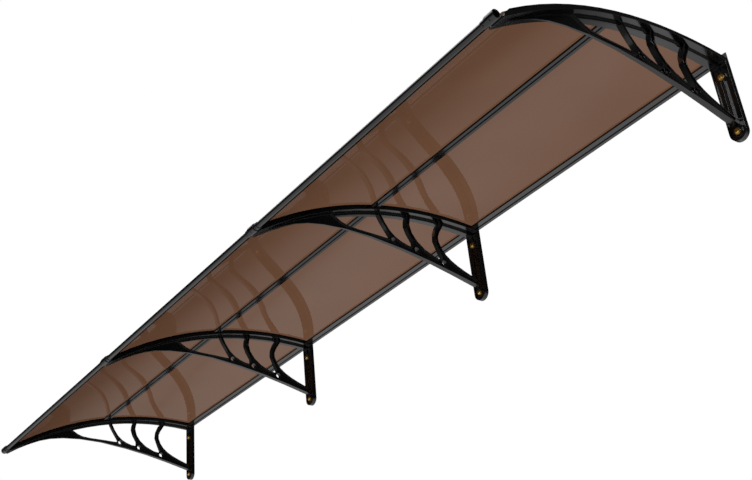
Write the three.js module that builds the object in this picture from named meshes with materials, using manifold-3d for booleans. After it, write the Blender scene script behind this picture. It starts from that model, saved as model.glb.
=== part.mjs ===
// Door canopy: three bays of arched translucent sheet carried by four black wall brackets.
// Millimetres. X runs along the wall, Y points into the wall (the wall is the plane y = 0),
// Z is up. The origin is the middle of the rear rail's back face.
//
// The bracket outlines are written in bracket coordinates: y from the plane of the bolt
// heads (negative towards the front edge), z from the centre of the lower wall bolt.

import * as THREE from 'three';
import { mergeVertices } from 'three/addons/utils/BufferGeometryUtils.js';
import Module from 'manifold-3d';

const wasm = await Module();
wasm.setup();

// Sizes of the whole canopy
const BAY = 1000;
const BRACKET_COUNT = 4;
const BOLT_PLANE_TO_WALL = 18.5;
const GAP = 0.3;

// The arch that the flanges, sheets and strips follow
const ARCH_Y = -115;
const ARCH_WALL_Z = 219.85;
const ARCH_RADIUS = 1250;
const ARCH_Z = ARCH_WALL_Z - Math.sqrt(ARCH_RADIUS ** 2 - (BOLT_PLANE_TO_WALL - ARCH_Y) ** 2);

// Bracket
const FLANGE_WIDTH = 50;
const FLANGE_THICKNESS = 10.5;
const WEB_THICKNESS = 4;
const WEB_STRIP_DEPTH = 17.5;
const RIM_WIDTH = 15;
const RIM_THICKNESS = 3;
const EDGE_THICKNESS = 4;
const EDGE_REAR_WIDTH = 19;
const EDGE_START_Y = -560;
const TIP_Y = -813.9;
const TIP_RISE = 4.35;
const TIP_RADIUS = ARCH_RADIUS + TIP_RISE;
const TIP_ANGLE = Math.asin((TIP_Y - ARCH_Y) / TIP_RADIUS);
const TIP_Z = ARCH_Z + TIP_RADIUS * Math.cos(TIP_ANGLE);
const COLLAR_RADIUS = 12.5;
const COLLAR_BORE = 9.2;
const COLLAR_LENGTH = 30;
const HOLE_RIM = 3;

// The bracket's curves, each point as y and depth below the arch
const LOWER_EDGE = [[-760, 16], [-700, 19], [-640, 27], [-560, 48], [-439, 85], [-280, 136], [-144, 173.5],
  [0, 204.5]];
const STRUT_HOLES = [
  { y: -328, depth: 104, radius: 8.5 },
  { y: -240, depth: 129, radius: 9 },
  { y: -135, depth: 157, radius: 9.5 },
];
// Each opening: down the rear of one strut, along the bottom and up the front of the next strut
const OPENING_SIDES = [
  [[-550, 11], [-530, 30], [-506, 51], [-465, 69], [-384, 92], [-348, 101], [-338, 99], [-338, 91],
    [-360, 53], [-372, 29], [-379, 11]],
  [[-369, 11], [-363, 28], [-345, 64], [-321, 92], [-294, 110], [-263, 122], [-251, 117], [-252, 99],
    [-272, 62], [-274, 34], [-266, 11]],
  [[-250, 11], [-256, 29], [-259, 49], [-249, 80], [-227, 108], [-194, 133], [-152, 149], [-139, 144],
    [-145, 124], [-161, 88], [-160, 58], [-150, 32], [-136, 11]],
  [[-115, 11], [-123, 24], [-143, 56], [-148, 82], [-132, 117], [-102, 144], [-61, 164], [-22, 177],
    [3.5, 184]],
];

// Wall plate
const PLATE_WIDTH = 50;
const PLATE_FRONT_Y = 3.5;
const PLATE_BOTTOM_Z = -25;
const PLATE_PANEL_DEPTH = 3;
const PLATE_PANEL_TOP_DEPTH = 21;
const PLATE_BORDER = 5;
const PLATE_RIB_X = 4.8;
const PLATE_RIB_WIDTH = 3;
const PLATE_RIB_RISE = 3.8;
const BOLT_HEIGHTS = [0, 168.4];
const BOLT_HOLE_RADIUS = 4.4;
const BOLT_BOSS_RADIUS = 15;

// Sheets and the strips that clamp them
const SHEET_THICKNESS = 3;
const SHEET_SEAM_HALF = 3;
const SHEET_END_INSET = 5;
const COVER_WIDTH = 40;
const COVER_THICKNESS = 3;
const COVER_SCREW_Y = [-700, -510, -310, -90];
const SCREW_HOLE_RADIUS = 2.5;
const SCREW_RADIUS = 2;
const SCREW_DEPTH = 8;

// Front rail
const RAIL_NOSE_RADIUS = 8.5;
const RAIL_BORE_RADIUS = 4.8;
const RAIL_SLEEVE_RADIUS = 10.5;
const RAIL_SLEEVE_LENGTH = 14;
const RAIL_LIP_REACH = 15;
const RAIL_LIP_THICKNESS = 3;
const SHEET_FRONT_REACH = 8;
const SET_SCREW_RADIUS = 1.8;
const SET_SCREW_DEPTH = 4;
const SET_SCREW_ANGLE = 0.84;

// Middle and rear cross strips
const STRIP_THICKNESS = 5.4;
const STRIP_WIDTH = 31;
const STRIP_SLOT_WIDTH = 7;
const STRIP_SLOT_DEPTH = 3.2;
const MID_STRIP_Y = -404;
const REAR_RAIL_FRONT_Y = -15.3;
const REAR_RAIL_UNDERSIDE_Z = ARCH_WALL_Z - 2.85;
const REAR_RAIL_HEIGHT = 22;
const REAR_RAIL_TOP_Z = REAR_RAIL_UNDERSIDE_Z + REAR_RAIL_HEIGHT;
const REAR_RAIL_SLOT = { front: 1.6, rear: 7.8 };
const REAR_RAIL_SLOT_DEPTH = 2.4;
const REAR_RAIL_UPSTAND = 3;
const REAR_RAIL_NECK = 6;
const PLATE_TOP_Z = REAR_RAIL_TOP_Z;

const ORIGIN_Z = (REAR_RAIL_UNDERSIDE_Z + REAR_RAIL_TOP_Z) / 2;
const WALL_Y = BOLT_PLANE_TO_WALL;

const bracketX = (index) => (index - (BRACKET_COUNT - 1) / 2) * BAY;

// Solids

function toManifold(geometry) {
  const plain = geometry.clone();
  plain.deleteAttribute('normal');
  plain.deleteAttribute('uv');
  const merged = mergeVertices(plain, 1e-4);
  const mesh = new wasm.Mesh({
    numProp: 3,
    vertProperties: new Float32Array(merged.attributes.position.array),
    triVerts: new Uint32Array(merged.index.array),
  });
  return new wasm.Manifold(mesh);
}

function toGeometry(solid) {
  const mesh = solid.getMesh();
  const indexed = new THREE.BufferGeometry();
  indexed.setAttribute('position', new THREE.BufferAttribute(new Float32Array(mesh.vertProperties), 3));
  indexed.setIndex(new THREE.BufferAttribute(new Uint32Array(mesh.triVerts), 1));
  const geometry = indexed.toNonIndexed();
  geometry.computeVertexNormals();
  return geometry;
}

const join = (solids) => solids.reduce((sum, solid) => sum.add(solid));
const cut = (solid, tools) => tools.reduce((rest, tool) => rest.subtract(tool), solid);

// A profile drawn in (y, z), extruded along X from x0 to x1
function extrudeX(shape, x0, x1, curveSegments = 6) {
  const geometry = new THREE.ExtrudeGeometry(shape, { depth: x1 - x0, bevelEnabled: false, curveSegments });
  const turn = new THREE.Matrix4().set(0, 0, 1, x0, 1, 0, 0, 0, 0, 1, 0, 0, 0, 0, 0, 1);
  return toManifold(geometry.applyMatrix4(turn));
}

function box(x0, x1, y0, y1, z0, z1) {
  const geometry = new THREE.BoxGeometry(x1 - x0, y1 - y0, z1 - z0);
  geometry.translate((x0 + x1) / 2, (y0 + y1) / 2, (z0 + z1) / 2);
  return toManifold(geometry);
}

function cylinderX(y, z, radius, x0, x1, sides = 24) {
  const geometry = new THREE.CylinderGeometry(radius, radius, x1 - x0, sides);
  geometry.rotateZ(Math.PI / 2);
  geometry.translate((x0 + x1) / 2, y, z);
  return toManifold(geometry);
}

function cylinderY(x, z, radius, y0, y1, sides = 20) {
  const geometry = new THREE.CylinderGeometry(radius, radius, y1 - y0, sides);
  geometry.translate(x, (y0 + y1) / 2, z);
  return toManifold(geometry);
}

function polygon(points) {
  return new THREE.Shape(points.map(([y, z]) => new THREE.Vector2(y, z)));
}

// The arch

const archZ = (y, radius = ARCH_RADIUS) => ARCH_Z + Math.sqrt(radius ** 2 - (y - ARCH_Y) ** 2);
const archAngle = (y, radius = ARCH_RADIUS) => Math.asin((y - ARCH_Y) / radius);

function archPoint(angle, radius) {
  return [ARCH_Y + radius * Math.sin(angle), ARCH_Z + radius * Math.cos(angle)];
}

// A cross-section drawn in (x, radius), swept along the arch between two angles
function sweepArch(profile, angle0, angle1, steps) {
  const positions = [];
  const indices = [];
  const count = profile.length;
  for (let i = 0; i <= steps; i += 1) {
    const angle = angle0 + ((angle1 - angle0) * i) / steps;
    for (const [x, radius] of profile) {
      positions.push(x, ...archPoint(angle, radius));
    }
  }
  for (let i = 0; i < steps; i += 1) {
    for (let j = 0; j < count; j += 1) {
      const a = i * count + j;
      const b = i * count + ((j + 1) % count);
      indices.push(a, a + count, b, b, a + count, b + count);
    }
  }
  const contour = profile.map(([x, radius]) => new THREE.Vector2(x, radius));
  const last = steps * count;
  for (const [a, b, c] of THREE.ShapeUtils.triangulateShape(contour, [])) {
    indices.push(a, b, c, last + a, last + c, last + b);
  }
  const geometry = new THREE.BufferGeometry();
  geometry.setAttribute('position', new THREE.Float32BufferAttribute(positions, 3));
  geometry.setIndex(indices);
  return toManifold(geometry);
}

function archBand(halfWidth, innerRadius, outerRadius, y0, y1, steps) {
  const profile = [[-halfWidth, innerRadius], [halfWidth, innerRadius], [halfWidth, outerRadius],
    [-halfWidth, outerRadius]];
  return sweepArch(profile, archAngle(y0), archAngle(y1), steps);
}

// Bracket outlines

// A smooth line through points given as y and depth below the arch
function curve(points, divisions) {
  const through = points.map(([y, depth]) => new THREE.Vector2(y, archZ(y) - depth));
  return new THREE.SplineCurve(through).getPoints(divisions).map((point) => [point.x, point.y]);
}

// Points along the arch at one depth, from y0 to y1
function archLine(y0, y1, depth, divisions) {
  const points = [];
  for (let i = 0; i <= divisions; i += 1) {
    const y = y0 + ((y1 - y0) * i) / divisions;
    points.push([y, archZ(y) - depth]);
  }
  return points;
}

// Outline moved outwards by a distance (points run anticlockwise)
function growOutline(points, distance) {
  const count = points.length;
  return points.map((point, index) => {
    const before = points[(index + count - 1) % count];
    const after = points[(index + 1) % count];
    const inward = new THREE.Vector2(point[0] - before[0], point[1] - before[1]).normalize();
    const outward = new THREE.Vector2(after[0] - point[0], after[1] - point[1]).normalize();
    const normal = new THREE.Vector2(inward.y + outward.y, -inward.x - outward.x).normalize();
    const stretch = 1 / Math.max(0.6, Math.sqrt((1 + inward.dot(outward)) / 2));
    return [point[0] + normal.x * distance * stretch, point[1] + normal.y * distance * stretch];
  });
}

// The openings between the struts, each closed by a line hidden inside the flange
function openingOutlines() {
  const hidden = FLANGE_THICKNESS - 0.5;
  return OPENING_SIDES.map((sides) => {
    const outline = curve(sides, 13);
    const front = outline[0][0];
    const rear = outline[outline.length - 1][0];
    return [...outline, ...archLine(rear, front, hidden, 3)];
  });
}

// Bracket pieces

function bracketFlange() {
  const half = FLANGE_WIDTH / 2;
  const inner = ARCH_RADIUS - FLANGE_THICKNESS;
  const flange = archBand(half, inner, ARCH_RADIUS, TIP_Y + 8, PLATE_FRONT_Y + 1, 14);
  // room for the rail end sleeves beside the collar
  const sleeveRoom = COLLAR_RADIUS + 1;
  return cut(flange, [
    cylinderX(TIP_Y, TIP_Z, sleeveRoom, COLLAR_LENGTH / 2, half + 1),
    cylinderX(TIP_Y, TIP_Z, sleeveRoom, -half - 1, -COLLAR_LENGTH / 2),
  ]);
}

// Room for the ends of the rear rails, on the sides that carry a bay
function rearRailRoom(bays) {
  const near = REAR_RAIL_NECK - GAP;
  const far = FLANGE_WIDTH / 2 + 1;
  const front = REAR_RAIL_FRONT_Y - GAP;
  const under = REAR_RAIL_UNDERSIDE_Z - GAP;
  const room = [];
  if (bays.left) room.push(box(-far, -near, front, PLATE_FRONT_Y, under, PLATE_TOP_Z));
  if (bays.right) room.push(box(near, far, front, PLATE_FRONT_Y, under, PLATE_TOP_Z));
  return room;
}

function bracketWeb() {
  const rear = PLATE_FRONT_Y + 2;
  const hidden = 2.2;
  const upper = archLine(TIP_Y, rear, hidden, 8);
  const lower = curve(LOWER_EDGE, 10);
  const lowerRear = lower[lower.length - 1][1];
  const outline = [...upper, [rear, lowerRear], ...[...lower].reverse(), [TIP_Y + 6, TIP_Z - 4]];
  return extrudeX(polygon(outline), -WEB_THICKNESS / 2, WEB_THICKNESS / 2);
}

// The flat edge that runs under the bracket and widens towards the wall plate
function bracketLowerEdge() {
  const rear = PLATE_FRONT_Y + 2;
  const lower = curve(LOWER_EDGE, 10);
  lower.push([rear, lower[lower.length - 1][1]]);
  const upper = lower.map(([y, z], index) => {
    const next = lower[Math.min(index + 1, lower.length - 1)];
    const last = lower[Math.max(index - 1, 0)];
    const along = new THREE.Vector2(next[0] - last[0], next[1] - last[1]).normalize();
    return [y - along.y * EDGE_THICKNESS, z + along.x * EDGE_THICKNESS];
  });
  const frontHalf = WEB_THICKNESS / 2 + 0.2;
  const rearHalf = EDGE_REAR_WIDTH / 2;
  const band = extrudeX(polygon([...lower, ...[...upper].reverse()]), -rearHalf, rearHalf);
  const front = LOWER_EDGE[0][0] - 1;
  const plan = new THREE.Shape([
    [front, -frontHalf], [EDGE_START_Y, -frontHalf], [rear + 1, -rearHalf],
    [rear + 1, rearHalf], [EDGE_START_Y, frontHalf], [front, frontHalf],
  ].map(([y, x]) => new THREE.Vector2(x, y)));
  const height = PLATE_TOP_Z - PLATE_BOTTOM_Z;
  const taper = new THREE.ExtrudeGeometry(plan, { depth: height, bevelEnabled: false });
  return band.intersect(toManifold(taper.translate(0, 0, PLATE_BOTTOM_Z)));
}

// Raised rim along the sides and the bottom of each opening, ending at the wall plate's front
function bracketRims(outlines) {
  const behindPlateFront = box(-RIM_WIDTH, RIM_WIDTH, PLATE_FRONT_Y, WALL_Y, 0, PLATE_TOP_Z);
  return outlines.map((points) => {
    const outer = extrudeX(polygon(growOutline(points, RIM_THICKNESS)), -RIM_WIDTH / 2, RIM_WIDTH / 2);
    const inner = extrudeX(polygon(points), -RIM_WIDTH, RIM_WIDTH);
    return cut(outer, [inner, behindPlateFront]);
  });
}

// The openings end below a strip of web that stays under the flange
function openingCuts(outlines) {
  const under = ARCH_RADIUS - WEB_STRIP_DEPTH;
  const strip = archBand(2 * RIM_WIDTH, under, ARCH_RADIUS, TIP_Y, PLATE_FRONT_Y + 2, 14);
  return outlines.map((points) => extrudeX(polygon(points), -RIM_WIDTH, RIM_WIDTH).subtract(strip));
}

function bracketPlate() {
  const half = PLATE_WIDTH / 2;
  const centre = PLATE_BOTTOM_Z + half;
  const outline = new THREE.Shape();
  outline.moveTo(-half, PLATE_TOP_Z);
  outline.lineTo(-half, centre);
  outline.absarc(0, centre, half, Math.PI, 2 * Math.PI, false);
  outline.lineTo(half, PLATE_TOP_Z);
  const geometry = new THREE.ExtrudeGeometry(outline, {
    depth: WALL_Y - PLATE_FRONT_Y, bevelEnabled: false, curveSegments: 6,
  });
  geometry.rotateX(Math.PI / 2).translate(0, WALL_Y, 0);
  const plate = toManifold(geometry);
  const tools = [plateRecess(half, centre)];
  const tabFront = WALL_Y - REAR_RAIL_UPSTAND;
  tools.push(box(-half - 1, half + 1, 0, tabFront, archZ(WALL_Y) - 1, PLATE_TOP_Z + 1));
  return cut(plate, tools);
}

// The plate's sunk front panel, inside its raised border
function plateRecess(half, centre) {
  const inner = half - PLATE_BORDER;
  const panel = new THREE.Shape();
  const top = archZ(PLATE_FRONT_Y) - PLATE_PANEL_TOP_DEPTH;
  panel.moveTo(-inner, top);
  panel.lineTo(-inner, centre);
  panel.absarc(0, centre, inner, Math.PI, 2 * Math.PI, false);
  panel.lineTo(inner, top);
  const geometry = new THREE.ExtrudeGeometry(panel, {
    depth: PLATE_PANEL_DEPTH + 1, bevelEnabled: false, curveSegments: 6,
  });
  geometry.rotateX(Math.PI / 2).translate(0, PLATE_FRONT_Y + PLATE_PANEL_DEPTH, 0);
  return toManifold(geometry);
}

// Two upright ribs on the wall plate, between the bolts
function plateRibs() {
  const front = PLATE_FRONT_Y - PLATE_RIB_RISE;
  const back = PLATE_FRONT_Y + PLATE_PANEL_DEPTH + 1;
  const bottom = archZ(0) - LOWER_EDGE[LOWER_EDGE.length - 1][1];
  const top = BOLT_HEIGHTS[1] - BOLT_BOSS_RADIUS + 3;
  return [-PLATE_RIB_X, PLATE_RIB_X].map((x) => (
    box(x - PLATE_RIB_WIDTH / 2, x + PLATE_RIB_WIDTH / 2, front, back, bottom, top)));
}

function bracket(bays) {
  const openings = openingOutlines();
  const rimHalf = RIM_WIDTH / 2;
  const through = rimHalf + 4;
  const holes = STRUT_HOLES.map(({ y, depth, radius }) => ({ y, z: archZ(y) - depth, radius }));
  const holeRims = holes.map(({ y, z, radius }) => (
    cylinderX(y, z, radius + HOLE_RIM, -rimHalf, rimHalf, 10)));
  const collar = cylinderX(TIP_Y, TIP_Z, COLLAR_RADIUS, -COLLAR_LENGTH / 2, COLLAR_LENGTH / 2, 14);
  const panelFront = PLATE_FRONT_Y + PLATE_PANEL_DEPTH;
  const bosses = BOLT_HEIGHTS.map((z) => (
    cylinderY(0, z, BOLT_BOSS_RADIUS, PLATE_FRONT_Y, panelFront + 1, 10)));
  const solidParts = cut(join([bracketWeb(), bracketLowerEdge(), ...holeRims]), openingCuts(openings));
  const body = join([solidParts, bracketFlange(), ...bracketRims(openings), collar, bracketPlate(),
    ...plateRibs(), ...bosses]);
  const tools = [
    ...holes.map(({ y, z, radius }) => cylinderX(y, z, radius, -through, through, 10)),
    ...BOLT_HEIGHTS.map((z) => cylinderY(0, z, BOLT_HOLE_RADIUS, -40, WALL_Y + 1, 8)),
    cylinderX(TIP_Y, TIP_Z, COLLAR_BORE, WEB_THICKNESS / 2, COLLAR_LENGTH, 12),
    cylinderX(TIP_Y, TIP_Z, COLLAR_BORE, -COLLAR_LENGTH, -WEB_THICKNESS / 2, 12),
    ...COVER_SCREW_Y.map((y) => archBore(0, y, SCREW_DEPTH + GAP)),
    setScrewHole(0, COLLAR_RADIUS),
    ...rearRailRoom(bays),
  ];
  return cut(body, tools);
}

// Blind hole for the small screw that locks a collar or sleeve, facing down and to the front
function setScrewHole(x, radius) {
  const geometry = new THREE.CylinderGeometry(SET_SCREW_RADIUS, SET_SCREW_RADIUS, 2 * SET_SCREW_DEPTH, 8);
  geometry.translate(0, -radius, 0).rotateX(SET_SCREW_ANGLE);
  return toManifold(geometry.translate(x, TIP_Y, TIP_Z));
}

// Hole for a cover screw, square to the arch and reaching this far to both sides of its surface
function archBore(x, y, reach) {
  const geometry = new THREE.CylinderGeometry(SCREW_HOLE_RADIUS, SCREW_HOLE_RADIUS, 2 * reach, 6);
  geometry.rotateX(Math.PI / 2 - archAngle(y));
  const [centreY, centreZ] = archPoint(archAngle(y), ARCH_RADIUS);
  return toManifold(geometry.translate(x, centreY, centreZ));
}

// Sheets

function sheet(index) {
  const left = index === 0 ? -BAY / 2 - FLANGE_WIDTH / 2 + SHEET_END_INSET : -BAY / 2 + SHEET_SEAM_HALF;
  const right = index === BRACKET_COUNT - 2
    ? BAY / 2 + FLANGE_WIDTH / 2 - SHEET_END_INSET : BAY / 2 - SHEET_SEAM_HALF;
  const inner = ARCH_RADIUS + GAP;
  const outer = inner + SHEET_THICKNESS;
  const profile = [[left, inner], [right, inner], [right, outer], [left, outer]];
  const front = TIP_ANGLE + SHEET_FRONT_REACH / ARCH_RADIUS;
  const rear = archAngle(WALL_Y - REAR_RAIL_UPSTAND - GAP - 1);
  const solid = sweepArch(profile, front, rear, 20);
  const room = COLLAR_LENGTH / 2 + RAIL_SLEEVE_LENGTH + 2 * GAP;
  const notches = [-1, 1].map((sign) => {
    const centre = (sign * BAY) / 2;
    return cylinderX(TIP_Y, TIP_Z, COLLAR_RADIUS + 1, centre - room, centre + room, 12);
  });
  const ends = [];
  if (index === 0) ends.push(-BAY / 2);
  if (index === BRACKET_COUNT - 2) ends.push(BAY / 2);
  const holes = ends.flatMap((x) => COVER_SCREW_Y.map((y) => archBore(x, y, 8)));
  return cut(solid, [...notches, ...holes]);
}

// Cross strips between the brackets

// Local frame on the arch: origin on the given radius, t to the rear, n outwards
function archFrame(angle, radius) {
  const [originY, originZ] = archPoint(angle, radius);
  return ([t, n]) => [originY + t * Math.cos(angle) + n * Math.sin(angle),
    originZ - t * Math.sin(angle) + n * Math.cos(angle)];
}

function frontRail() {
  const place = archFrame(TIP_ANGLE, ARCH_RADIUS);
  const slotBottom = 0;
  const slotTop = SHEET_THICKNESS + 2 * GAP;
  const nose = new THREE.Shape();
  const [noseY, noseZ] = place([0, TIP_RISE]);
  nose.absarc(noseY, noseZ, RAIL_NOSE_RADIUS, 0, 2 * Math.PI, false);
  const lips = polygon([
    [0, slotBottom - RAIL_LIP_THICKNESS], [RAIL_LIP_REACH, slotBottom - RAIL_LIP_THICKNESS],
    [RAIL_LIP_REACH, slotTop + RAIL_LIP_THICKNESS], [0, slotTop + RAIL_LIP_THICKNESS],
  ].map(place));
  const slot = polygon([
    [SHEET_FRONT_REACH - 0.7, slotBottom], [RAIL_LIP_REACH + 1, slotBottom],
    [RAIL_LIP_REACH + 1, slotTop], [SHEET_FRONT_REACH - 0.7, slotTop],
  ].map(place));
  const half = BAY / 2 - COLLAR_LENGTH / 2 - RAIL_SLEEVE_LENGTH - 2 * GAP;
  const body = extrudeX(nose, -half, half, 8).add(extrudeX(lips, -half, half));
  return cut(body, [extrudeX(slot, -half - 1, half + 1),
    cylinderX(noseY, noseZ, RAIL_BORE_RADIUS, -half - 1, half + 1, 12)]);
}

// Sleeve that carries a rail end in a bracket's collar; direction +1 points to the right
function railSleeve(direction) {
  const start = COLLAR_LENGTH / 2 + GAP;
  const end = start + RAIL_SLEEVE_LENGTH;
  const inCollar = COLLAR_BORE - 2 * GAP;
  const inRail = RAIL_BORE_RADIUS - 2 * GAP;
  const outline = [
    [0, WEB_THICKNESS / 2 + 1], [inCollar, WEB_THICKNESS / 2 + 1], [inCollar, start],
    [RAIL_SLEEVE_RADIUS, start], [RAIL_SLEEVE_RADIUS, end - 1], [RAIL_SLEEVE_RADIUS - 1, end],
    [inRail, end], [inRail, end + 12], [0, end + 12],
  ];
  const geometry = new THREE.LatheGeometry(outline.map(([r, x]) => new THREE.Vector2(r, x)), 12);
  geometry.rotateZ(-Math.PI / 2);
  if (direction < 0) geometry.rotateY(Math.PI);
  geometry.translate(0, TIP_Y, TIP_Z);
  const screwX = direction * (start + RAIL_SLEEVE_LENGTH / 2);
  return toManifold(geometry).subtract(setScrewHole(screwX, RAIL_SLEEVE_RADIUS));
}

function midStrip() {
  const place = archFrame(archAngle(MID_STRIP_Y), ARCH_RADIUS);
  const half = STRIP_WIDTH / 2;
  const slot = STRIP_SLOT_WIDTH / 2;
  const top = -0.1;
  const under = top - STRIP_THICKNESS;
  const slotTop = under + STRIP_SLOT_DEPTH;
  const outline = polygon([
    [-half, top], [-half, under], [-slot, under], [-slot, slotTop],
    [slot, slotTop], [slot, under], [half, under], [half, top],
  ].map(place));
  const length = BAY / 2 - FLANGE_WIDTH / 2 - GAP;
  return extrudeX(outline, -length, length);
}

function rearRail() {
  const under = REAR_RAIL_UNDERSIDE_Z;
  const top = archZ(WALL_Y) - GAP;
  const { front, rear } = REAR_RAIL_SLOT;
  const slotTop = under + REAR_RAIL_SLOT_DEPTH;
  const back = WALL_Y;
  const upstandFront = WALL_Y - REAR_RAIL_UPSTAND;
  const hookUnder = archZ(WALL_Y) + SHEET_THICKNESS + 3 * GAP;
  const outline = polygon([
    [REAR_RAIL_FRONT_Y, archZ(REAR_RAIL_FRONT_Y) - GAP], [REAR_RAIL_FRONT_Y, under],
    [front, under], [front, slotTop], [rear, slotTop], [rear, under], [back, under],
    [back, REAR_RAIL_TOP_Z], [upstandFront, REAR_RAIL_TOP_Z], [upstandFront, hookUnder + 3],
    [upstandFront - 8, hookUnder + 3.6], [upstandFront - 8, hookUnder + 1],
    [upstandFront, hookUnder], [upstandFront, top],
  ]);
  const neck = BAY / 2 - 6;
  const rail = extrudeX(outline, -neck, neck);
  const plateSide = BAY / 2 - PLATE_WIDTH / 2 - GAP;
  const notches = [-1, 1].map((sign) => {
    const x0 = sign * plateSide;
    const x1 = sign * (neck + 1);
    const below = REAR_RAIL_UNDERSIDE_Z - 1;
    const above = REAR_RAIL_TOP_Z + 1;
    return box(Math.min(x0, x1), Math.max(x0, x1), PLATE_FRONT_Y - GAP, WALL_Y + 1, below, above);
  });
  return cut(rail, notches);
}

// Covers and screws above each bracket

function coverStrip() {
  const inner = ARCH_RADIUS + SHEET_THICKNESS + 3 * GAP;
  const band = archBand(COVER_WIDTH / 2, inner, inner + COVER_THICKNESS, TIP_Y + 40, -8, 14);
  return cut(band, COVER_SCREW_Y.map((y) => archBore(0, y, 20)));
}

function coverScrew(y) {
  const seat = SHEET_THICKNESS + COVER_THICKNESS + 4 * GAP;
  const outline = [
    [0, -SCREW_DEPTH], [SCREW_RADIUS, -SCREW_DEPTH], [SCREW_RADIUS, seat], [4.6, seat],
    [4.6, seat + 1.2], [3, seat + 2.8], [0, seat + 2.8],
  ];
  const geometry = new THREE.LatheGeometry(outline.map(([r, h]) => new THREE.Vector2(r, h)), 6);
  geometry.rotateX(Math.PI / 2).rotateX(-archAngle(y));
  const [centreY, centreZ] = archPoint(archAngle(y), ARCH_RADIUS);
  return toManifold(geometry.translate(0, centreY, centreZ));
}

// Hexagon bolt with its washer, standing on the plate's front panel
function wallBolt(z) {
  const face = PLATE_FRONT_Y - GAP;
  const washer = cylinderY(0, z, 9.5, face - 1.8, face, 12);
  const headGeometry = new THREE.CylinderGeometry(7.5, 7.5, 5.4, 6).rotateY(0.4);
  const head = toManifold(headGeometry.translate(0, face - 1.8 - 2.5, z));
  const chamfer = toManifold(new THREE.CylinderGeometry(10.2, 5.4, 8, 12).translate(0, face - 3.1, z));
  const shank = cylinderY(0, z, BOLT_HOLE_RADIUS - 2 * GAP, face - 1, WALL_Y - GAP, 8);
  return join([washer, head.intersect(chamfer), shank]);
}

// Meshes

const finish = {
  bracket: { color: 0x1b1b1d, roughness: 0.32, metalness: 0 },
  rail: { color: 0x232326, roughness: 0.25, metalness: 0.6 },
  sheet: { color: 0x7a5f52, roughness: 0.08, metalness: 0, transparent: true, opacity: 0.6 },
  cover: { color: 0x202022, roughness: 0.35, metalness: 0.6 },
  zinc: { color: 0xc9a86a, roughness: 0.3, metalness: 1 },
  steel: { color: 0x9a9a9c, roughness: 0.35, metalness: 1 },
};

function addMesh(group, name, solid, look, x = 0) {
  const geometry = toGeometry(solid);
  geometry.translate(x, -WALL_Y, -ORIGIN_Z);
  const mesh = new THREE.Mesh(geometry, new THREE.MeshStandardMaterial(look));
  mesh.name = name;
  group.add(mesh);
}

function addBrackets(group) {
  for (let i = 0; i < BRACKET_COUNT; i += 1) {
    const x = bracketX(i);
    const bays = { left: i > 0, right: i < BRACKET_COUNT - 1 };
    addMesh(group, `bracket_${i + 1}`, bracket(bays), finish.bracket, x);
    addMesh(group, `cover_strip_${i + 1}`, coverStrip(), finish.cover, x);
    COVER_SCREW_Y.forEach((y, n) => {
      addMesh(group, `cover_screw_${i + 1}_${n + 1}`, coverScrew(y), finish.steel, x);
    });
    addMesh(group, `wall_bolt_${i + 1}_lower`, wallBolt(BOLT_HEIGHTS[0]), finish.zinc, x);
    addMesh(group, `wall_bolt_${i + 1}_upper`, wallBolt(BOLT_HEIGHTS[1]), finish.zinc, x);
  }
}

function addBays(group) {
  for (let i = 0; i < BRACKET_COUNT - 1; i += 1) {
    const x = (bracketX(i) + bracketX(i + 1)) / 2;
    addMesh(group, `sheet_${i + 1}`, sheet(i), finish.sheet, x);
    addMesh(group, `front_rail_${i + 1}`, frontRail(), finish.rail, x);
    addMesh(group, `rail_sleeve_${i + 1}_left`, railSleeve(1), finish.rail, bracketX(i));
    addMesh(group, `rail_sleeve_${i + 1}_right`, railSleeve(-1), finish.rail, bracketX(i + 1));
    addMesh(group, `mid_strip_${i + 1}`, midStrip(), finish.rail, x);
    addMesh(group, `rear_rail_${i + 1}`, rearRail(), finish.rail, x);
  }
}

const canopy = new THREE.Group();
canopy.name = 'canopy';
addBrackets(canopy);
addBays(canopy);

export default canopy;
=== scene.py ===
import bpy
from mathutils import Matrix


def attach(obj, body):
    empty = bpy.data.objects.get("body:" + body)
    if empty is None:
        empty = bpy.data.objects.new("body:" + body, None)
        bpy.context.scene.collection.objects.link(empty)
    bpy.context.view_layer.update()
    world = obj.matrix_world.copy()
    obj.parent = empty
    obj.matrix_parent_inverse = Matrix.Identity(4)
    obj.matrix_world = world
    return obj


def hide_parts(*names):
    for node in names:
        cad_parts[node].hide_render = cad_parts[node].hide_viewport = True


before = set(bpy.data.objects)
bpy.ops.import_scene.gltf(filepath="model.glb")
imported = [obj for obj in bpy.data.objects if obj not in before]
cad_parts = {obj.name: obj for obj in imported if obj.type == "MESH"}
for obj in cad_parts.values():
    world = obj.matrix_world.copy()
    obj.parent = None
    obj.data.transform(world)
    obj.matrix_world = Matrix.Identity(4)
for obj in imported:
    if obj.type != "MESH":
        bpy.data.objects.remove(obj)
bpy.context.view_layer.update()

import math

import bmesh
import bpy
from mathutils import Matrix, Vector

# Door canopy seen from below, hanging 2.2 m above a pale floor. Metres throughout.

# Places and sizes taken from the part's source, moved to the part's origin
BRACKET_X = (-1.5, -0.5, 0.5, 1.5)
WALL_OFFSET = 0.0185
HEIGHT_OFFSET = 0.228
ARCH_Y = -0.115 - WALL_OFFSET
ARCH_Z = -1.023 - HEIGHT_OFFSET
ARCH_RADIUS = 1.25
TIP_Y = -0.8139 - WALL_OFFSET
TIP_Z = 0.0186 - HEIGHT_OFFSET
TIP_ANGLE = math.atan2(TIP_Y - ARCH_Y, TIP_Z - ARCH_Z)
GAP = 0.0003
SHEET_THICKNESS = 0.003
SHEET_SEAM_HALF = 0.003
SHEET_OVERHANG = 0.020
SHEET_FRONT_REACH = 0.008
COLLAR_ROOM = 0.0135
COLLAR_HALF_LENGTH = 0.0296
SHEET_REAR_Y = -0.0043

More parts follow.
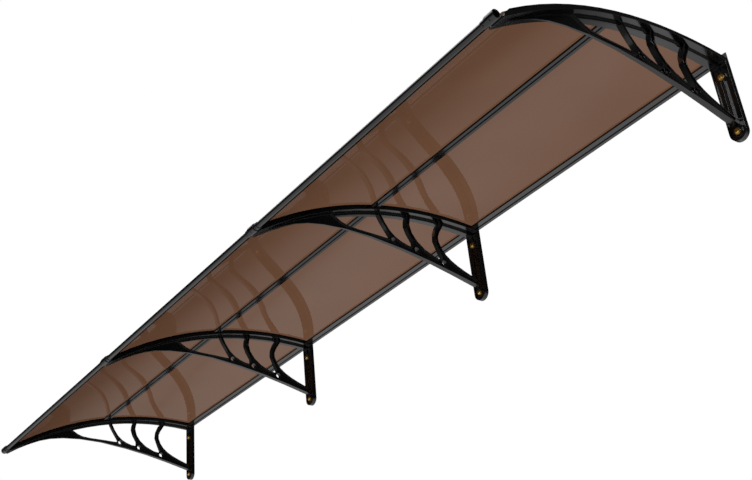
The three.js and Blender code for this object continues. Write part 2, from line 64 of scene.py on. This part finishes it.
SHEET_ROWS = 96
SMOOTH_BELOW = math.radians(35)
FLOOR_Z = -2.2
FLOOR_HALF = 9


# Node helpers

def linear(channel):
    """One sRGB channel, 0 to 1, as linear light."""
    if channel <= 0.04045:
        return channel / 12.92
    return ((channel + 0.055) / 1.055) ** 2.4


def colour(hex_code):
    """An sRGB hex colour as a linear RGBA tuple."""
    parts = [int(hex_code[i:i + 2], 16) / 255 for i in (1, 3, 5)]
    return tuple(linear(part) for part in parts) + (1.0,)


def add(tree, kind, settings=None, **links):
    """Adds a node, sets its properties and sockets, and links the sockets named in links."""
    node = tree.nodes.new(kind)
    for key, value in (settings or {}).items():
        if isinstance(key, str) and hasattr(node, key) and key not in node.inputs:
            setattr(node, key, value)
        else:
            node.inputs[key].default_value = value
    for name, source in links.items():
        tree.links.new(source, node.inputs[name.replace("_", " ")])
    return node


def new_material(name):
    """An empty node material and its output node."""
    material = bpy.data.materials.new(name)
    material.use_nodes = True
    tree = material.node_tree
    tree.nodes.clear()
    output = tree.nodes.new("ShaderNodeOutputMaterial")
    return material, tree, output


def noise(tree, size, detail=2.0):
    """Noise in object space whose features are about size metres across."""
    coordinates = add(tree, "ShaderNodeTexCoord")
    node = add(tree, "ShaderNodeTexNoise", {"Scale": 1 / size, "Detail": detail, "Roughness": 0.5},
               Vector=coordinates.outputs["Object"])
    return node.outputs["Fac"]


def spread(tree, value, low, high):
    """Maps a noise value to a range."""
    node = add(tree, "ShaderNodeMapRange",
               {"From Min": 0.3, "From Max": 0.7, "To Min": low, "To Max": high}, Value=value)
    return node.outputs["Result"]


def two_tone(tree, value, dark, light):
    """Mixes two colours by a noise value."""
    ramp = add(tree, "ShaderNodeValToRGB", Fac=value)
    ramp.color_ramp.elements[0].position = 0.35
    ramp.color_ramp.elements[0].color = colour(dark)
    ramp.color_ramp.elements[1].position = 0.65
    ramp.color_ramp.elements[1].color = colour(light)
    return ramp.outputs["Color"]


def bump(tree, height, distance, strength, normal):
    """Bump on a normal, whose full height is distance metres."""
    node = add(tree, "ShaderNodeBump", {"Distance": distance, "Strength": strength},
               Height=height, Normal=normal)
    return node.outputs["Normal"]


def rounded_edges(tree, radius):
    """Normal that rounds the sharp edges by radius metres."""
    return add(tree, "ShaderNodeBevel", {"samples": 4, "Radius": radius}).outputs["Normal"]


def combine(tree, operation, first, second):
    """One Math node on two values."""
    node = add(tree, "ShaderNodeMath", {"operation": operation})
    tree.links.new(first, node.inputs[0])
    tree.links.new(second, node.inputs[1])
    return node.outputs["Value"]


def mix_shaders(tree, factor, first, second):
    """Mixes two shaders: factor 0 gives the first, 1 the second."""
    node = add(tree, "ShaderNodeMixShader", Fac=factor)
    tree.links.new(first, node.inputs[1])
    tree.links.new(second, node.inputs[2])
    return node.outputs["Shader"]


# Materials

def moulded_black():
    """Glossy black moulded polycarbonate blend of the brackets."""
    material, tree, output = new_material("black_moulded_plastic")
    mottle = noise(tree, 0.05, detail=3.0)
    flow = noise(tree, 0.035, detail=1.0)
    edge = rounded_edges(tree, 0.0012)
    wavy = bump(tree, flow, 0.0003, 0.2, edge)
    shader = add(tree, "ShaderNodeBsdfPrincipled", {"IOR": 1.5},
                 Base_Color=two_tone(tree, mottle, "#050505", "#0A0A0A"),
                 Roughness=spread(tree, mottle, 0.12, 0.18),
                 Normal=wavy)
    tree.links.new(shader.outputs["BSDF"], output.inputs["Surface"])
    return material


def coated_black(name, rough_low, rough_high, peel):
    """Black powder coat on aluminium, with its orange peel of peel metres height."""
    material, tree, output = new_material(name)
    cloud = noise(tree, 0.03, detail=2.0)
    skin = noise(tree, 0.0016, detail=1.0)
    edge = rounded_edges(tree, 0.0006)
    shader = add(tree, "ShaderNodeBsdfPrincipled", {"IOR": 1.5},
                 Base_Color=two_tone(tree, cloud, "#060606", "#0B0B0B"),
                 Roughness=spread(tree, cloud, rough_low, rough_high),
                 Normal=bump(tree, skin, peel, 0.5, edge))
    tree.links.new(shader.outputs["BSDF"], output.inputs["Surface"])
    return material


def brown_sheet():
    """Clear brown polycarbonate, 3 mm thick: tinted light passes it, and its outer faces mirror."""
    material, tree, output = new_material("brown_polycarbonate")
    cloud = noise(tree, 0.25, detail=1.0)
    # each face takes the square root of the sheet's tint, because light passes two
    tint = two_tone(tree, cloud, "#A58B79", "#A78D7B")
    clear = add(tree, "ShaderNodeBsdfTransparent", Color=tint)
    gloss = add(tree, "ShaderNodeBsdfGlossy", {"Roughness": 0.02})
    mirrored = add(tree, "ShaderNodeFresnel", {"IOR": 1.29})
    side = add(tree, "ShaderNodeNewGeometry")
    outside = add(tree, "ShaderNodeMath", {"operation": "SUBTRACT", 0: 1.0})
    tree.links.new(side.outputs["Backfacing"], outside.inputs[1])
    share = combine(tree, "MULTIPLY", mirrored.outputs["Fac"], outside.outputs["Value"])
    mix = mix_shaders(tree, share, clear.outputs["BSDF"], gloss.outputs["BSDF"])
    tree.links.new(mix, output.inputs["Surface"])
    return material


def zinc(name, dark, light, roughness):
    """Passivated zinc plating with its blotchy tint."""
    material, tree, output = new_material(name)
    blotch = noise(tree, 0.004, detail=3.0)
    pits = noise(tree, 0.0006, detail=1.0)
    edge = rounded_edges(tree, 0.0005)
    shader = add(tree, "ShaderNodeBsdfPrincipled", {"Metallic": 1.0},
                 Base_Color=two_tone(tree, blotch, dark, light),
                 Roughness=spread(tree, blotch, roughness, roughness + 0.14),
                 Normal=bump(tree, pits, 0.00004, 0.4, edge))
    tree.links.new(shader.outputs["BSDF"], output.inputs["Surface"])
    return material


def pale_floor():
    """Pale floor, matt to the lamps; in reflections it glows white, a painted glow that dims away
    from its centre near the canopy, and it is unseen from underneath.
    """
    material, tree, output = new_material("pale_floor_with_painted_glow")
    cloud = noise(tree, 0.8, detail=2.0)
    paint = two_tone(tree, cloud, "#E9E9E7", "#EDEDEB")
    matt = add(tree, "ShaderNodeBsdfDiffuse", Color=paint)
    place = add(tree, "ShaderNodeTexCoord")
    distance = add(tree, "ShaderNodeVectorMath", {"operation": "LENGTH"})
    tree.links.new(place.outputs["Object"], distance.inputs[0])
    # painted light: the floor's glow in reflections is full within 4 m of its centre and dims to
    # 0.35 at its edge
    painted_falloff = add(tree, "ShaderNodeMapRange",
               {"From Min": 4.0, "From Max": FLOOR_HALF, "To Min": 1.0, "To Max": 0.35},
               Value=distance.outputs["Value"])
    # painted glow: the floor emits white, though it is no lamp, wherever a reflection meets it
    white = add(tree, "ShaderNodeEmission", {"Color": (1, 1, 1, 1)},
                Strength=painted_falloff.outputs["Result"])
    path = add(tree, "ShaderNodeLightPath")
    upper = mix_shaders(tree, path.outputs["Is Glossy Ray"],
                        matt.outputs["BSDF"], white.outputs["Emission"])
    clear = add(tree, "ShaderNodeBsdfTransparent")
    side = add(tree, "ShaderNodeNewGeometry")
    mix = mix_shaders(tree, side.outputs["Backfacing"], upper, clear.outputs["BSDF"])
    tree.links.new(mix, output.inputs["Surface"])
    return material


# Shapes

def smoothing_nodes():
    """Node group that shades faces smooth except across edges sharper than 35 degrees."""
    group = bpy.data.node_groups.new("smooth_but_for_edges", "GeometryNodeTree")
    group.interface.new_socket("Geometry", in_out="INPUT", socket_type="NodeSocketGeometry")
    group.interface.new_socket("Geometry", in_out="OUTPUT", socket_type="NodeSocketGeometry")
    start = group.nodes.new("NodeGroupInput")
    end = group.nodes.new("NodeGroupOutput")
    angle = group.nodes.new("GeometryNodeInputMeshEdgeAngle")
    compare = group.nodes.new("FunctionNodeCompare")
    compare.data_type = "FLOAT"
    compare.operation = "LESS_THAN"
    compare.inputs[1].default_value = SMOOTH_BELOW
    faces = group.nodes.new("GeometryNodeSetShadeSmooth")
    faces.domain = "FACE"
    edges = group.nodes.new("GeometryNodeSetShadeSmooth")
    edges.domain = "EDGE"
    group.links.new(angle.outputs["Unsigned Angle"], compare.inputs[0])
    group.links.new(start.outputs[0], faces.inputs["Geometry"])
    group.links.new(faces.outputs["Geometry"], edges.inputs["Geometry"])
    group.links.new(compare.outputs["Result"], edges.inputs["Shade Smooth"])
    group.links.new(edges.outputs["Geometry"], end.inputs[0])
    return group


def soften(node, group):
    """Smooth shading for a CAD node."""
    weld = node.modifiers.new("weld", "WELD")
    weld.merge_threshold = 0.00002
    smooth = node.modifiers.new("smooth", "NODES")
    smooth.node_group = group


def finish_node(name, material, group):
    """Gives a CAD node its material and smooth shading."""
    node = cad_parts[name]
    node.data.materials.clear()
    node.data.materials.append(material)
    soften(node, group)


def new_piece(name, mesh, material):
    """A new object that rides on the canopy."""
    piece = bpy.data.objects.new(name, mesh)
    bpy.context.scene.collection.objects.link(piece)
    mesh.materials.append(material)
    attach(piece, "root")
    return piece


def arch_point(angle, radius):
    """(y, z) on the arch."""
    return ARCH_Y + radius * math.sin(angle), ARCH_Z + radius * math.cos(angle)


def sheet_angles():
    """Angles of the sheet's rows: its front edge, then from the notches' end to its rear edge."""
    front = TIP_ANGLE + SHEET_FRONT_REACH / ARCH_RADIUS
    notch = TIP_ANGLE + COLLAR_ROOM / ARCH_RADIUS
    rear = math.asin((SHEET_REAR_Y - ARCH_Y) / ARCH_RADIUS)
    return [front] + [notch + (rear - notch) * i / SHEET_ROWS for i in range(SHEET_ROWS + 1)]


def sheet_columns(index):
    """X of the sheet's left edge, the notches' inner edges and its right edge."""
    first = index == 0
    last = index == len(BRACKET_X) - 2
    left = BRACKET_X[index]
    right = BRACKET_X[index + 1]
    return [left - SHEET_OVERHANG if first else left + SHEET_SEAM_HALF,
            left + COLLAR_HALF_LENGTH, right - COLLAR_HALF_LENGTH,
            right + SHEET_OVERHANG if last else right - SHEET_SEAM_HALF]


def sheet_points(mesh, angles, columns):
    """The sheet's points by side, row and column: side 0 is its underside."""
    points = {}
    inner = ARCH_RADIUS + GAP
    for side, radius in enumerate((inner, inner + SHEET_THICKNESS)):
        for row, angle in enumerate(angles):
            y, z = arch_point(angle, radius)
            for column, x in enumerate(columns):
                points[side, row, column] = mesh.verts.new((x, y, z))
    return points


def sheet_cells():
    """The cells that hold sheet, by row and column: the front row is notched at both sides."""
    return [(0, 1)] + [(row, column) for row in range(1, SHEET_ROWS + 1) for column in range(3)]


def fill_sheet(mesh, points, cells):
    """The faces of both sides, and the walls round the outline."""
    for row, column in cells:
        for side in (0, 1):
            corners = [points[side, row, column], points[side, row, column + 1],
                       points[side, row + 1, column + 1], points[side, row + 1, column]]
            mesh.faces.new(corners if side == 1 else corners[::-1])
    # the neighbour across each side of a cell, and that side's two ends
    borders = (((0, -1), (0, 0), (1, 0)), ((0, 1), (1, 1), (0, 1)),
               ((-1, 0), (0, 1), (0, 0)), ((1, 0), (1, 0), (1, 1)))
    taken = set(cells)
    for row, column in cells:
        for (d_row, d_column), start, end in borders:
            if (row + d_row, column + d_column) in taken:
                continue
            a = (row + start[0], column + start[1])
            b = (row + end[0], column + end[1])
            mesh.faces.new([points[0, *a], points[0, *b], points[1, *b], points[1, *a]])


def build_sheet(index):
    """One bay's arched sheet, notched round the rail collars, as a fine closed mesh."""
    mesh = bmesh.new()
    points = sheet_points(mesh, sheet_angles(), sheet_columns(index))
    fill_sheet(mesh, points, sheet_cells())
    bmesh.ops.delete(mesh, geom=[v for v in mesh.verts if not v.link_faces], context="VERTS")
    bmesh.ops.recalc_face_normals(mesh, faces=mesh.faces)
    data = bpy.data.meshes.new(f"canopy_sheet_{index + 1}")
    mesh.to_mesh(data)
    mesh.free()
    data.shade_smooth()
    data.set_sharp_from_angle(angle=SMOOTH_BELOW)
    return data


# Stage

def add_camera():
    """The photograph's view: a camera in front, below and to the right of the canopy."""
    right = Vector((0.57935571, 0.81016339, -0.08934335))
    down = Vector((-0.43749625, 0.21661361, -0.87274027))
    forward = Vector((-0.68770923, 0.54471444, 0.47993977))
    camera = bpy.data.objects.new("camera", bpy.data.cameras.new("camera"))
    bpy.context.scene.collection.objects.link(camera)
    rotation = Matrix((right, -down, -forward)).transposed().to_4x4()
    camera.matrix_world = Matrix.Translation((2.6876352, -2.1414665, -1.6631476)) @ rotation
    camera.data.sensor_width = 36
    camera.data.lens = 50.88
    camera.data.clip_end = 100
    bpy.context.scene.camera = camera


def add_floor():
    """Pale floor under the canopy."""
    mesh = bpy.data.meshes.new("floor")
    signs = ((-1, -1), (1, -1), (1, 1), (-1, 1))
    corners = [(x * FLOOR_HALF, y * FLOOR_HALF, FLOOR_Z) for x, y in signs]
    mesh.from_pydata(corners, [], [(0, 1, 2, 3)])
    floor = bpy.data.objects.new("floor", mesh)
    bpy.context.scene.collection.objects.link(floor)
    mesh.materials.append(pale_floor())


def add_softbox(name, place, target, width, height, radiance):
    """Rectangular lamp of an even radiance that faces a target and is seen only in reflections."""
    data = bpy.data.lights.new(name, "AREA")
    data.shape = "RECTANGLE"
    data.size = width
    data.size_y = height
    data.energy = radiance * width * height * math.pi
    lamp = bpy.data.objects.new(name, data)
    bpy.context.scene.collection.objects.link(lamp)
    lamp.location = place
    direction = Vector(target) - Vector(place)
    lamp.rotation_mode = "QUATERNION"
    lamp.rotation_quaternion = direction.to_track_quat("-Z", "Y")
    lamp.visible_camera = False
    lamp.visible_transmission = False


def add_world():
    """White to the camera and through the sheets, fading to dim towards the top in reflections."""
    world = bpy.data.worlds.new("studio")
    bpy.context.scene.world = world
    world.use_nodes = True
    tree = world.node_tree
    tree.nodes.clear()
    path = add(tree, "ShaderNodeLightPath")
    seen = combine(tree, "MAXIMUM", path.outputs["Is Camera Ray"],
                   path.outputs["Is Transmission Ray"])
    direction = add(tree, "ShaderNodeTexCoord")
    parts = add(tree, "ShaderNodeSeparateXYZ", Vector=direction.outputs["Generated"])
    studio = add(tree, "ShaderNodeMapRange",
                 {"interpolation_type": "SMOOTHSTEP", "From Min": -0.24, "From Max": 0.10,
                  "To Min": 0.35, "To Max": 0.03}, Value=parts.outputs["Z"])
    fill = add(tree, "ShaderNodeBackground", {"Color": colour("#F4F5F6"), "Strength": 0.45})
    mirrored = add(tree, "ShaderNodeBackground", {"Color": (1, 1, 1, 1)},
                   Strength=studio.outputs["Result"])
    white = add(tree, "ShaderNodeBackground", {"Color": (1, 1, 1, 1), "Strength": 1.0})
    unseen = mix_shaders(tree, path.outputs["Is Glossy Ray"], fill.outputs[0], mirrored.outputs[0])
    mix = mix_shaders(tree, seen, unseen, white.outputs[0])
    output = tree.nodes.new("ShaderNodeOutputWorld")
    tree.links.new(mix, output.inputs["Surface"])


# The canopy

add_camera()
add_world()
add_floor()
add_softbox("softbox_above", (-1.0, -1.5, 3.2), (0, -0.4, 0), 3.5, 3.0, 2.0)
add_softbox("softbox_right", (3.6, -3.0, 2.0), (1.5, -0.2, -0.1), 1.4, 1.4, 12.0)
add_softbox("softbox_front", (0.7, -3.2, 2.9), (1.5, 0, -0.1), 0.9, 0.9, 9.0)

smoothing = smoothing_nodes()
plastic = moulded_black()
rail = coated_black("black_gloss_powder_coat", 0.10, 0.16, 0.00003)
cover = coated_black("black_satin_powder_coat", 0.28, 0.38, 0.00006)
bolt = zinc("yellow_zinc_plate", "#B98F45", "#D9B468", 0.22)
screw = zinc("plain_zinc_plate", "#9C9C9A", "#BDBDBB", 0.28)
looks = (("bracket_", plastic), ("front_rail_", rail), ("rail_sleeve_", rail),
         ("mid_strip_", rail), ("rear_rail_", rail), ("cover_strip_", cover),
         ("cover_screw_", screw), ("wall_bolt_", bolt))
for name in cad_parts:
    for prefix, material in looks:
        if name.startswith(prefix):
            finish_node(name, material, smoothing)

brown = brown_sheet()
for index in range(3):
    piece = new_piece(f"canopy_sheet_{index + 1}", build_sheet(index), brown)
    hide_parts(f"sheet_{index + 1}")

bpy.context.scene.view_settings.view_transform = "Standard"
